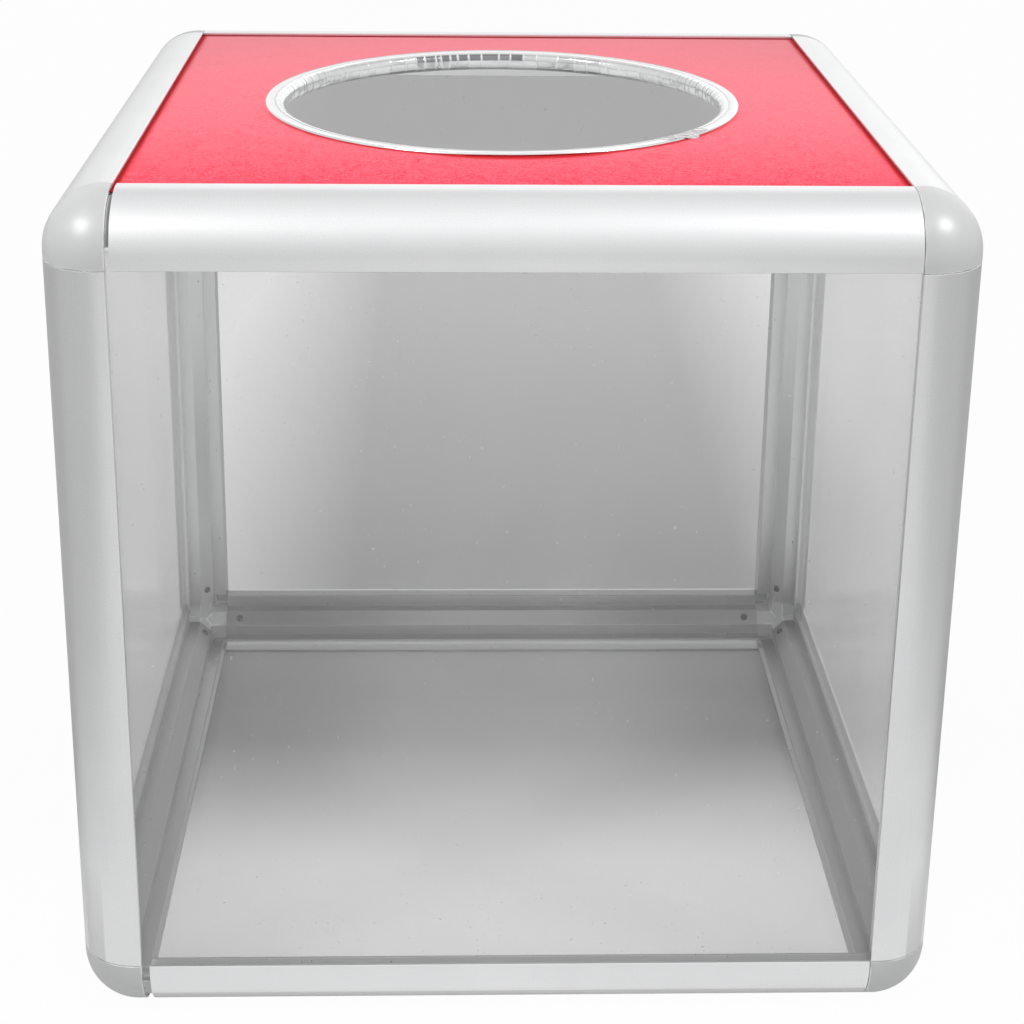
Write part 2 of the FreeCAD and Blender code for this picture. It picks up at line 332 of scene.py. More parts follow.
# Painted highlight on the outer edges, broken up by noise.
painted_edge_highlight = rim * (1 - inside) * corner.ramp(corner.noise(240, 2.0), 0.38, 0.58, 0.15, 1.0)
corner_material = corner.surface(corner.principled({
    "Base Color": corner.blend(painted_edge_highlight, moulded_with_painted_shade, grey(1.0)), "Specular IOR Level": 1.0,
    "Roughness": 0.33 + 0.05 * clouds + 0.05 * peel,
    "Normal": corner.bump(peel + 0.3 * flakes, 0.12, 0.00006, rounded),
}))

# %% [markdown]
# ## Screw finish: dark steel
#
# Small blackened screws, stained in patches, with a fine grain that breaks up their gloss.

# %% Screw finish
screw = material("dark_screw_steel")
screw_grain = screw.noise(3000, 3.0)
screw_stain = screw.noise(500, 3.0)
screw_material = screw.surface(screw.principled({
    "Base Color": screw.blend(screw_stain, (0.07, 0.07, 0.072, 1), (0.17, 0.17, 0.175, 1)),
    "Metallic": 1.0, "Roughness": 0.28 + 0.2 * screw_grain,
    "Normal": screw.bump(screw_grain, 0.2, 0.00004),
}))

# %% [markdown]
# ## Clear sheet
#
# Acrylic sheet mirrors at a flat angle and hardly shifts what lies behind it. Its body is a
# transmitting shader with an index close to 1, and its polished faces are a coat with the index
# of acrylic, 1.49. Smears strengthen the coat, and specks of dust mix in a little matt white.
# Light that only passes through on its way to something else would be stopped by such a shader,
# so shadow and diffuse rays see plain transparency instead.

# %% Clear sheet finish
acrylic = material("clear_acrylic_sheet")
ray = acrylic.rays()
passing = ray["Is Shadow Ray"].largest(ray["Is Diffuse Ray"])
smears = acrylic.ramp(acrylic.noise(1.0, 4.0, acrylic.place("Object", (22, 22, 9)), 0.6), 0.45, 0.75)
dust = acrylic.ramp(acrylic.noise(820, 0.0), 0.835, 0.86)
sheet_body = acrylic.principled({
    "Base Color": (0.87, 0.872, 0.87, 1), "Transmission Weight": 1.0, "IOR": 1.02, "Roughness": 0.0,
    "Coat Weight": 0.75 + 0.15 * smears, "Coat Roughness": 0.22, "Coat IOR": 1.49,
})
haze = acrylic.node("ShaderNodeBsdfDiffuse", {}, {"Color": grey(0.8)})
hazy = acrylic.mix(0.015 + 0.015 * smears + 0.3 * dust, sheet_body, haze)
clear = acrylic.node("ShaderNodeBsdfTransparent", {}, {"Color": (0.93, 0.932, 0.93, 1)})
acrylic_material = acrylic.surface(acrylic.mix(passing, hazy, clear))

# %% [markdown]
# ## Board, felt, trim and tape finishes
#
# The felt is a thin needled felt: fibres lie in all directions, so its colour is mottled in
# small short strokes, and its face is matt with a soft sheen, and a painted sheen pales its colour at a
# flat angle. Beside the rails' lips and under the front of the trim it has a painted shade of deep
# red. The trim is bright metal that was bent by hand, so it is smooth between its creases; the tones
# of its flats, lines and patches are painted reflections. The board under the felt is a grey laminate.

# %% Board finish
board = material("stiff_white_board")
board_grain = board.noise(1.0, 3.0, board.place("Object", (300, 90, 300)), 0.5)
board_material = board.surface(board.principled({
    "Base Color": board.blend(board_grain, (0.36, 0.357, 0.35, 1), (0.31, 0.308, 0.30, 1)),
    "Roughness": 0.5 + 0.15 * board_grain,
    "Normal": board.bump(board_grain, 0.15, 0.0001),
}))

# %% Felt finish
felt = material("red_needled_felt")
warp = felt.noise(160, 2.0)
strokes_across = felt.noise(330, 3.0, felt.place("Object", (1, 3.4, 1)), 0.6, 1.4)
strokes_along = felt.noise(210, 3.0, felt.place("Object", (3.0, 1, 1)), 0.6, 1.8)
fine_fibre = felt.noise(3600, 2.0)
mottle = felt.noise(95, 3.0)
fibre = 0.5 * strokes_across + 0.33 * strokes_along + 0.17 * fine_fibre
felt_base = felt.blend(felt.ramp(fibre, 0.42, 0.58), (0.88, 0.010, 0.040, 1), (1.0, 0.130, 0.183, 1))
felt_clouded = felt.blend(felt.ramp(mottle, 0.42, 0.68, 0.0, 0.6), felt_base, (0.98, 0.080, 0.127, 1))
edge_on = felt.node("ShaderNodeLayerWeight", {}, {"Blend": 0.5}, "Facing")
# Painted sheen: the felt's colour pales at a flat angle.
felt_with_painted_sheen = felt.blend(felt.ramp(edge_on, 0.745, 0.82, 0.0, 0.72), felt_clouded, (1.0, 0.42, 0.47, 1))
felt_material = felt.surface(felt.principled({
    # Painted shade: deep red beside the rails' lips and under the trim's front.
    "Base Color": felt.blend(felt.attribute("painted_shade"), felt_with_painted_sheen, (0.52, 0.003, 0.008, 1)),
    "Roughness": 0.92, "Specular IOR Level": 0.1,
    "Sheen Weight": 0.12, "Sheen Roughness": 0.5, "Sheen Tint": (1.0, 0.4, 0.45, 1),
    "Normal": felt.bump(fibre + 0.5 * warp, 0.5, 0.0003),
}))

# %% Trim and tape finishes
trim = material("bright_bent_metal")
crinkle = trim.noise(1.0, 3.0, trim.place("UV", (420, 150, 1)), 0.55)
fine_lines = trim.noise(1.0, 3.0, trim.place("UV", (60, 1800, 1)), 0.5)
# Painted reflection: the base colour follows the trim's per-point tone of flats, lines and patches.
painted_reflection = trim.attribute("bright") - 0.12 * crinkle
trim_material = trim.surface(trim.principled({
    "Base Color": trim.blend(painted_reflection, (0.24, 0.243, 0.25, 1), (0.93, 0.933, 0.94, 1)),
    "Metallic": 1.0, "Roughness": 0.12 + 0.12 * crinkle,
    "Normal": trim.bump(crinkle + 0.2 * fine_lines, 0.25, 0.0002),
}))

tape = material("clear_sticky_tape")
tape_ripple = tape.noise(1.0, 2.0, tape.place("UV", (260, 900, 1)), 0.5)
wrinkled = tape.ramp(tape_ripple, 0.40, 0.62)
tape_body = tape.principled({
    "Base Color": tape.blend(wrinkled, (0.46, 0.44, 0.44, 1), (0.92, 0.90, 0.90, 1)),
    "Roughness": 0.18 + 0.2 * tape_ripple,
    "Normal": tape.bump(tape_ripple, 0.5, 0.0003),
})
tape_clear = tape.node("ShaderNodeBsdfTransparent", {}, {"Color": (0.95, 0.95, 0.95, 1)})
tape_material = tape.surface(tape.mix(0.55 + 0.3 * tape_ripple, tape_clear, tape_body))

# %% [markdown]
# ## Helpers for surfaces
#
# Each new piece is a grid of points: rows along a path, columns round a profile. The faces of
# such a grid depend only on its two counts, so one helper numbers them for every piece.


# %% Grid helpers
def grid_faces(rows, columns, closed=False):
    """Four-sided faces between neighbours of a grid, numbered row by row.

    A face takes point (row, column), the next column, the same two points one row on. It faces
    towards (direction of columns) x (direction of rows). A closed grid joins its last column to
    its first.
    """
    row, column = np.meshgrid(np.arange(rows - 1), np.arange(columns - (not closed)), indexing="ij")
    after = (column + 1) % columns
    here, ahead = row * columns, (row + 1) * columns
    return np.stack([here + column, here + after, ahead + after, ahead + column], axis=-1).reshape(-1, 4)


def unit(vectors):
    """Vectors of the same direction and length one."""
    return vectors / np.linalg.norm(vectors, axis=-1, keepdims=True)


def rounded_outline(corners, radii, long_arc=40, short_arc=5):
    """A closed outline with every corner replaced by an arc.

    With half the corner's inner angle called h, the arc's centre lies on the bisector at
    radius / sin(h) from the corner, and the arc touches the sides at radius / tan(h). Its points
    turn by equal steps from the one touching point to the other. Large radii get more points.
    """
    here, radii = np.array(corners, float), np.array(radii, float)
    to_last = unit(np.roll(here, 1, 0) - here)
    to_next = unit(np.roll(here, -1, 0) - here)
    bisector = unit(to_last + to_next)
    half = np.arccos(np.clip((to_last * bisector).sum(1), -1, 1))
    centre = here + bisector * (radii / np.sin(half))[:, None]
    start = here + to_last * (radii / np.tan(half))[:, None] - centre
    end = here + to_next * (radii / np.tan(half))[:, None] - centre
    first = np.arctan2(start[:, 1], start[:, 0])
    turn = (np.arctan2(end[:, 1], end[:, 0]) - first + np.pi) % (2 * np.pi) - np.pi
    steps = np.where(radii > 2.5 * MM, long_arc, short_arc)
    arcs = [
        centre[i] + radii[i] * np.stack([np.cos(angle), np.sin(angle)], axis=-1)
        for i in range(len(here))
        for angle in [first[i] + turn[i] * np.linspace(0, 1, steps[i])]
    ]
    return np.concatenate(arcs)


def moved_outwards(outline, distance):
    """A counter-clockwise closed outline moved outwards along the mean normal of its sides."""
    along = unit(np.roll(outline, -1, 0) - outline)
    normal = np.stack([along[:, 1], -along[:, 0]], axis=-1)
    return outline + unit(normal + np.roll(normal, 1, 0)) * distance


def at_height(outline, height):
    """A flat outline set at a height."""
    return np.column_stack([outline, np.full(len(outline), height)])


def lengths_along(outline):
    """The distance walked along an outline up to each of its points."""
    steps = np.linalg.norm(np.diff(outline, axis=0), axis=1)
    return np.concatenate([[0], np.cumsum(steps)])


def add_to_scene(name, data):
    """A new object of the scene that shows a mesh, a lamp or a camera."""
    added = bpy.data.objects.new(name, data)
    bpy.context.scene.collection.objects.link(added)
    return added


def make_piece(name, points, faces, material, replaces, uv=None):
    """A smooth-shaded mesh from points and faces, riding on the box and standing for CAD nodes."""
    mesh = bpy.data.meshes.new(name)
    mesh.from_pydata(points.reshape(-1, 3).tolist(), [], [list(map(int, face)) for face in faces])
    mesh.polygons.foreach_set("use_smooth", np.ones(len(mesh.polygons), bool))
    if uv is not None:
        layer = mesh.uv_layers.new(name="UVMap")
        layer.data.foreach_set("uv", uv.reshape(-1, 2)[loop_points(mesh)].astype(np.float32).ravel())
    mesh.materials.append(material)
    mesh.update()
    piece = add_to_scene(name, mesh)
    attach(piece, "root")
    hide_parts(*replaces)
    return piece


def loop_points(mesh):
    """The number of the point at each corner of each face."""
    numbers = np.zeros(len(mesh.loops), np.int32)
    mesh.loops.foreach_get("vertex_index", numbers)
    return numbers


def mark_points(piece, name, values):
    """Remembers one number per point under a name, for the material to read."""
    attribute = piece.data.attributes.new(name, "FLOAT", "POINT")
    attribute.data.foreach_set("value", np.ravel(values).astype(np.float32))


def even_shading(piece):
    """Large flat faces keep flat shading beside small rounded ones."""
    modifier = piece.modifiers.new("even_shading", "WEIGHTED_NORMAL")
    modifier.weight = 80


print("grid of 3 by 4 has", len(grid_faces(3, 4)), "faces")

# %% [markdown]
# ## The edge rail
#
# The section is the heart of the box: a rounded skin, two lips that cover the sheets' edges, two
# slots with thin fins behind, a hollow chamber and a chamfered inner face for the screws. All
# twelve rails share it. Real edges are never sharp, and the light line on a rail's lip comes from
# its small rounding, so each corner of the section gets its own radius, and each sawn end a fine
# bevel. The outline is carried along the rail as a grid of rings.


# %% Section of the rail
def rail_section():
    """The rail's outline and its chamber, counter-clockwise, in metres from the box's two planes.

    The outline is one half and its mirror image about the diagonal. The chamber's skin is an arc
    that ends on the flat walls, asin(fall / radius) past the level, and a slanted wall for the
    screws joins the flat ones.
    """
    half = [
        (LIP_REACH, 0, 0.45), (LIP_REACH, SKIN, 0.2), (BODY_FACE, SKIN, 0.15), (BODY_FACE, FIN_FACE, 0.15),
        (FIN_REACH, FIN_FACE, 0.15), (FIN_REACH, FIN_BACK, 0.25), (BODY_FACE, FIN_BACK, 0.15),
        (BODY_FACE, CHAMFER_START, 0.3),
    ]
    other_half = [(b, a, radius) for a, b, radius in reversed(half)]
    corners = [(0, 0, OUTER_RADIUS / MM)] + half + other_half
    outline = rounded_outline([c[:2] for c in corners], [c[2] * MM for c in corners])
    fall = OUTER_RADIUS - CHAMBER_FLAT
    swing = math.asin(fall / CHAMBER_RADIUS)
    turn = np.linspace(math.pi + swing, 1.5 * math.pi - swing, 24)
    skin = OUTER_RADIUS + CHAMBER_RADIUS * np.stack([np.cos(turn), np.sin(turn)], axis=-1)
    slant = CHAMBER_DIAGONAL - CHAMBER_FLAT
    walls = np.array([(CHAMBER_FLAT, slant), (slant, CHAMBER_FLAT)])
    return outline, np.concatenate([skin, walls])


section, chamber = rail_section()
print("section", len(section), "points, chamber", len(chamber), "points")


# %% [markdown]
# A rail is first made at the left, front, bottom corner of the box, where its section is drawn,
# and then mirrored into its place. A mirror turns a surface inside out, so the faces of a piece
# that is mirrored an odd number of times are turned back.


# %% Placing and building a rail
ORDER = {"x": (2, 0, 1), "y": (1, 2, 0), "z": (0, 1, 2)}


def into_place(points, faces, axis, right=False, back=False, top=False):
    """Points (across, across, along) set along an axis at one edge of the box, with their faces."""
    turned = points[..., list(ORDER[axis])].copy()
    turned += np.array([-WIDTH / 2, -DEPTH / 2, 0])
    if right:
        turned[..., 0] *= -1
    if back:
        turned[..., 1] *= -1
    if top:
        turned[..., 2] = HEIGHT - turned[..., 2]
    odd = (right + back + top) % 2
    return turned, [face[::-1] for face in faces] if odd else faces


def rail_surface(start, end):
    """Rings of the section at the two ends and just inside them, the chamber and the sawn faces.

    Ring k is the outline, drawn in by the bevel at the very ends, at its height along the rail.
    The chamber is two rings, joined with their faces turned inwards. A sawn face fills the plane
    between the outline and the chamber with triangles, all turned the same way by the sign of
    (b - a) x (c - a). The UV map is the distance round the section, and the height.
    """
    inset = moved_outwards(section, -SAWN_BEVEL)
    rings = [inset, section, section, inset]
    heights = [start, start + SAWN_BEVEL, end - SAWN_BEVEL, end]
    outer = np.concatenate([at_height(ring, h) for ring, h in zip(rings, heights)])
    inner = np.concatenate([at_height(chamber, h) for h in (start, end)])
    faces = grid_faces(4, len(section), closed=True).tolist()
    faces += (grid_faces(2, len(chamber), closed=True)[:, ::-1] + len(outer)).tolist()

    loops = [at_height(inset, 0), at_height(chamber, 0)]
    cap = np.array(tessellate_polygon([loop.tolist() for loop in loops]))
    a, b, c = (np.concatenate(loops)[cap[:, k]] for k in range(3))
    up = np.cross(b - a, c - a)[:, 2] > 0
    cap = np.where(up[:, None], cap, cap[:, ::-1])
    on_section, on_chamber = np.arange(len(section)), len(outer) + np.arange(len(chamber))
    near_end = np.concatenate([on_section, on_chamber])
    far_end = np.concatenate([on_section + 3 * len(section), on_chamber + len(chamber)])
    faces += near_end[cap[:, ::-1]].tolist() + far_end[cap].tolist()

    points = np.concatenate([outer, inner])
    walk = np.concatenate([np.tile(lengths_along(section), 4), np.tile(lengths_along(chamber), 2)])
    return points, faces, np.column_stack([walk, points[:, 2]])


def rail_places():
    """Every rail's name, its axis and the mirrors that set it in place."""
    for side, right in (("left", False), ("right", True)):
        yield "post_front_" + side, "z", {"right": right}
        yield "post_back_" + side, "z", {"right": right, "back": True}
        yield "bottom_rail_" + side, "y", {"right": right}
        yield "top_rail_" + side, "y", {"right": right, "top": True}
    for end, back in (("front", False), ("back", True)):
        yield "bottom_rail_" + end, "x", {"back": back}
        yield "top_rail_" + end, "x", {"back": back, "top": True}


print(len(list(rail_places())), "rails to build")

# %% [markdown]
# The finish has to know where on a rail it is. Three numbers per point tell it: whether the point
# faces the inside of the box, lies in a slot, or on the bevel of a sawn end. A point of the section
# is in a slot if it is no nearer to an outer plane than the lip's back, no further than the fin's
# face, and well away from the rounded edge. The chamber's points have none of the three.

# %% The twelve rails
shallow = section.min(axis=1)
between = (shallow > SKIN - 0.05 * MM) & (shallow < FIN_FACE + 0.05 * MM)
marks = {
    "inner_face": np.tile(shallow > 3 * MM, 4),
    "in_slot": np.tile(between & (section.max(axis=1) > 15 * MM), 4),
    "sawn_edge": np.repeat([1, 0, 0, 1], len(section)),
}
for name, axis, mirrors in rail_places():
    low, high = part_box(name)
    along = "xyz".index(axis)
    shift = (WIDTH / 2, DEPTH / 2, 0)[along]
    points, faces, uv = rail_surface(low[along] + shift, high[along] + shift)
    points, faces = into_place(points, faces, axis, **mirrors)
    piece = make_piece(name + "_dressed", points, faces, rail_material, [name], uv)
    for mark, values in marks.items():
        mark_points(piece, mark, np.concatenate([values, np.zeros(2 * len(chamber))]))
    even_shading(piece)
print("12 rails, each of", len(faces), "faces")

# %% [markdown]
# ## Screws
#
# A screw is a profile turned round its own axis: a low domed head, its flat underside and the
# shank. The cross recess is a dent in the head, worked out from the same grid: where a point lies
# in one of two crossed bars, it is pushed down. All twenty-four are one mesh.


# %% Screw heads
def screw_grid(turns):
    """A screw along its axis: radius and height from a profile, and a crossed recess in the head.

    A point at (x, y) lies in the recess if the smaller of |x| and |y| is below the bar's half
    width, it is near the middle, and it is on the head's top.
    """
    radius = np.array([0, 0.25, 0.5, 0.75, 1.0, 1.25, 1.45, 1.58, 1.6, 0.9, 0.9, 0.3]) * MM
    height = np.array([0.86, 0.86, 0.84, 0.8, 0.73, 0.6, 0.42, 0.18, 0.0, 0.0, -3.2, -3.6]) * MM
    angle = np.linspace(0, 2 * np.pi, turns, endpoint=False)
    x = radius[:, None] * np.cos(angle)
    y = radius[:, None] * np.sin(angle)
    bar, reach, recess = 0.2 * MM, 0.95 * MM, 0.5 * MM
    inside = (np.minimum(abs(x), abs(y)) < bar) & (np.hypot(x, y) < reach) & (height[:, None] > 0.5 * MM)
    z = height[:, None] - np.where(inside, recess, 0)
    return np.stack([x, y, z], axis=-1), grid_faces(len(radius), turns, closed=True)


def screw_on_rail(grid, along):
    """The screw set square on the chamfered face: x across it, y along the rail and z outwards."""
    middle = (BODY_FACE + CHAMFER_START) / 2
    side = np.array([1, -1, 0]) / math.sqrt(2)
    out = np.array([1, 1, 0]) / math.sqrt(2)
    up = np.array([0, 0, 1.0])
    foot = np.array([middle, middle, along])
    return foot + grid[..., :1] * side + grid[..., 1:2] * up + grid[..., 2:] * out


grid, screw_faces = screw_grid(24)
SCREW_PLACE = 29 * MM
parts, part_faces, count = [], [], 0
for name, axis, mirrors in rail_places():
    length = {"x": WIDTH, "y": DEPTH, "z": HEIGHT}[axis]
    for height in (SCREW_PLACE, length - SCREW_PLACE):
        points, faces = into_place(screw_on_rail(grid, height), screw_faces.tolist(), axis, **mirrors)
        parts.append(points.reshape(-1, 3))
        part_faces += (np.array(faces) + count).tolist()
        count += points.shape[0] * points.shape[1]
make_piece("screws", np.concatenate(parts), part_faces, screw_material, ["rail_screws"])
print("24 screws,", len(part_faces), "faces")

# %% [markdown]
# ## Corners, clear sheets and board
#
# These keep their CAD shape, which is right as it is, and only take their finish.

# %% Finishes for the CAD pieces
for name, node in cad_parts.items():
    finish = corner_material if name.startswith("corner_") else None
    finish = acrylic_material if name.endswith("_panel") else finish
    finish = board_material if name == "top_board" else finish
    if finish:
        node.data.materials.clear()
        node.data.materials.append(finish)
        print(name, "gets", finish.name)

# %% [markdown]
# ## Felt
#
# The felt is one flat sheet with the round hole cut out. Its grid runs from the hole's circle to
# the sheet's edge, so every column is a straight line between the two. Beside the rails' lips, and
# under the front of the trim, where the trim stands off it a little, the felt has a painted shade.
# An attribute remembers it for the material.


# %% Felt sheet
def resampled(outline, count):
    """A closed outline with a given number of points, evenly spaced along it."""
    closed = np.vstack([outline, outline[:1]])
    walk = lengths_along(closed)
    at = np.linspace(0, walk[-1], count, endpoint=False)
    return np.column_stack([np.interp(at, walk, closed[:, k]) for k in (0, 1)])


def felt_grid(columns=900, rows=52):
    """Points (1 - t) * circle + t * edge, with t from 0 at the hole to 1 at the sheet's edge.

    t is half of 1 - cos(pi * row / last row), so the rows lie close at both borders.
    """
    low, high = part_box("red_felt")
    corners = [(low.x, low.y), (high.x, low.y), (high.x, high.y), (low.x, high.y)]
    edge = resampled(rounded_outline(corners, [SHEET_CORNER] * 4), columns)
    circle = HOLE_CENTRE + unit(edge - HOLE_CENTRE) * HOLE_RADIUS
    share = (0.5 - 0.5 * np.cos(np.pi * np.linspace(0, 1, rows)))[:, None, None]
    flat = (1 - share) * circle + share * edge
    return np.concatenate([flat, np.full(flat.shape[:2] + (1,), FELT_FACE)], axis=-1)


def felt_painted_shade(points):
    """How much painted shade the felt has at each point, from 0 to 1: the largest of three bands.

    Each band is held at 1 beside what shades the felt and falls in a straight line over a width.
    The third runs along the front half of the trim, and is widest where the trim stands off most.
    """
    from_hole = points[..., :2] - HOLE_CENTRE
    to_side_lip = WIDTH / 2 - LIP_REACH - abs(points[..., 0])
    to_end_lip = DEPTH / 2 - LIP_REACH - abs(points[..., 1])
    to_trim = np.hypot(from_hole[..., 0], from_hole[..., 1]) - TRIM_LEG_END
    in_front = np.clip(-0.3 - 1.8 * from_hole[..., 1] / HOLE_RADIUS, 0, 1)
    turn = np.degrees(np.arctan2(from_hole[..., 1], from_hole[..., 0])) - GAP_ANGLE
    trim_width = (1.1 + 1.7 * np.exp(-(turn / 18) ** 4)) * MM
    beside_lips = np.maximum(1.7 - to_side_lip / (1.5 * MM), 1.5 - to_end_lip / (0.9 * MM))
    beside_trim = in_front * np.clip(1.9 - to_trim / trim_width, 0, 1)
    return np.clip(np.maximum(beside_lips, beside_trim), 0, 1)


felt_points = felt_grid()
rows, columns = felt_points.shape[:2]
felt_faces = grid_faces(rows, columns, closed=True)[:, ::-1]
felt_piece = make_piece("felt", felt_points, felt_faces, felt_material, ["red_felt"])
# The painted shade of the felt, one number per point.
mark_points(felt_piece, "painted_shade", felt_painted_shade(felt_points))
thick = felt_piece.modifiers.new("thickness", "SOLIDIFY")
thick.thickness = FELT_THICKNESS
thick.offset = -1
low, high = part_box("red_felt")

# %% [markdown]
# ## Hole trim
#
# The trim is a U section pushed over the board's edge and bent round by hand. Bending a straight
# strip to a circle buckles its inner side, so the ring isn't round but a chain of short flats with
# creases between them, closer together where the bend was forced. Its surface is the section
# carried round the hole, with the radius of each flat read from the straight line between two
# creases.


# %% Trim surface
def trim_section():
    """The trim's outline in (radius, height), counter-clockwise: outside of the U, then inside."""
    groove, deep, half_groove = TRIM_WEB + TRIM_GROOVE, TRIM_TOP - 0.16 * MM, 0.25 * MM
    back, over, below = TRIM_WEB + TRIM_WALL, TRIM_TOP - TRIM_WALL, TRIM_UNDER + TRIM_WALL
    inner_bend = TRIM_BEND - TRIM_WALL
    corners = [
        (TRIM_LEG_END, TRIM_TOP, 0.62 * MM), (groove + half_groove, TRIM_TOP, 0.1 * MM),
        (groove, deep, 0.1 * MM), (groove - half_groove, TRIM_TOP, 0.1 * MM),
        (TRIM_WEB, TRIM_TOP, TRIM_BEND), (TRIM_WEB, TRIM_UNDER, TRIM_BEND),
        (TRIM_LEG_END, TRIM_UNDER, 0.25 * MM), (TRIM_LEG_END, below, 0.25 * MM),
        (back, below, inner_bend), (back, over, inner_bend), (TRIM_LEG_END, over, 0.12 * MM),
    ]
    radii = [radius for _, _, radius in corners]
    return rounded_outline([c[:2] for c in corners], radii, long_arc=12, short_arc=3)


def crease_angles(start, end):
    """Angles of the creases, each a random step after the last.

    The steps are shorter at the left and right of the ring, by |cos(angle)| cubed, and in a
    stretch of the far side, by a bell curve round 103 degrees.
    """
    angles = [start]
    while angles[-1] < end:
        at_side = abs(math.cos(angles[-1])) ** 3
        far_left = math.exp(-((angles[-1] - math.radians(103)) / math.radians(12)) ** 2)
        step = rng.uniform(2.6, 6.6) * (1 - 0.55 * max(at_side, far_left))
        angles.append(angles[-1] + math.radians(step))
    angles[-1] = end
    return np.array(angles)


def last_crease(angles):
    """The number of the crease before each angle."""
    return np.clip(np.searchsorted(creases, angles, side="right") - 1, 0, len(creases) - 2)


def buckled(angle, height_share):
    """How far the wall moves outwards at an angle and a height share from 0 under to 1 on top.

    Every crease has a depth that waves up the wall. Between two creases the wall is straight, so
    the value follows the straight line between two points of a circle. Each flat leans a little,
    and each crease adds a narrow groove, 0.16 mm deep, that falls off as a bell curve.
    """
    last = last_crease(angle)
    depth, swing, phase, tilt = crease_shape.T[:, :, None]
    wave = depth + swing * np.sin(5 * height_share[None, :] + phase * 9)
    a, b = creases[last], creases[last + 1]
    share = ((angle - a) / (b - a))[:, None]
    lean = tilt[last] * (height_share[None, :] - 0.5) * np.clip(8 * np.minimum(share, 1 - share), 0, 1)
    straight = wave[last] * (1 - share) + wave[last + 1] * share + lean
    flat = (np.cos((b - a) / 2) / np.cos(angle - (a + b) / 2) - 1)[:, None] * TRIM_WEB
    nearest = np.minimum(angle - a, b - angle)[:, None] * TRIM_WEB
    groove = 0.16 * MM * np.exp(-(nearest / (0.30 * MM)) ** 2)
    return straight - flat + groove


# %% [markdown]
# The strip's shape is drawn once, here: where its creases are, how deep each is and how its depth
# waves, and how the flats lean. Each flat also has a painted tone, and the flats in one stretch of
# the far side a painted dark patch: painted reflections, as bent bright metal mirrors a different part
# of the room at every flat.

# %% Creases
half_slit = JOINT_GAP / 2 / HOLE_RADIUS
trim_start, trim_end = JOINT_ANGLE + half_slit, JOINT_ANGLE + 2 * math.pi - half_slit
creases = crease_angles(trim_start, trim_end)
count = len(creases)
painted_flat_tone = rng.uniform(0.6, 0.95, count)
has_patch = abs(np.degrees(creases) - 97) < 16
painted_patch_tone = np.where(has_patch, rng.uniform(0.75, 0.95, count), rng.uniform(0, 0.3, count))
crease_shape = np.column_stack([
    rng.uniform(0.0, 0.24, count) * MM, rng.uniform(-0.12, 0.12, count) * MM,
    rng.uniform(0, 1, count), rng.uniform(-0.3, 0.3, count) * MM,
])
print(count, "creases")


# %% Trim carried round the hole
FAR_LIFT, FRONT_LIFT = 0.45 * MM, 0.62 * MM


def gap_under_trim(angles):
    """1 near the front of the ring, where the bent leg stands off the felt, and 0 elsewhere.

    It is exp(-(turn / 16) ** 4), with turn the degrees from the gap's middle, from -180 to 180.
    """
    turn = (np.degrees(angles) - GAP_ANGLE + 180) % 360 - 180
    return np.exp(-(turn / 16) ** 4)


def trim_points(outline, angles):
    """The section carried round the hole: each point keeps its height and moves with the buckles.

    The buckles are strongest on the web and fade to nothing at the legs' ends. The upper part of
    the far side is lifted, and at the front the top leg's end.
    """
    radius, height = outline[:, 0], outline[:, 1]
    along_leg = (radius - TRIM_WEB) / (TRIM_LEG_END - TRIM_WEB)
    share = (height - TRIM_UNDER) / (TRIM_TOP - TRIM_UNDER)
    far = np.clip(np.sin(angles), 0, 1)[:, None] ** 2 * np.clip(share * 1.4 - 0.4, 0, 1)
    near = gap_under_trim(angles)[:, None] * np.clip(along_leg, 0, 1) ** 1.5 * np.clip(share * 4 - 3, 0, 1)
    lift = FAR_LIFT * far + FRONT_LIFT * near
    ring = radius + buckled(angles, share) * np.clip(1 - along_leg, 0, 1) ** 0.7
    return np.stack([
        HOLE_CENTRE[0] + ring * np.cos(angles)[:, None],
        HOLE_CENTRE[1] + ring * np.sin(angles)[:, None],
        np.broadcast_to(height, ring.shape) + lift,
    ], axis=-1)


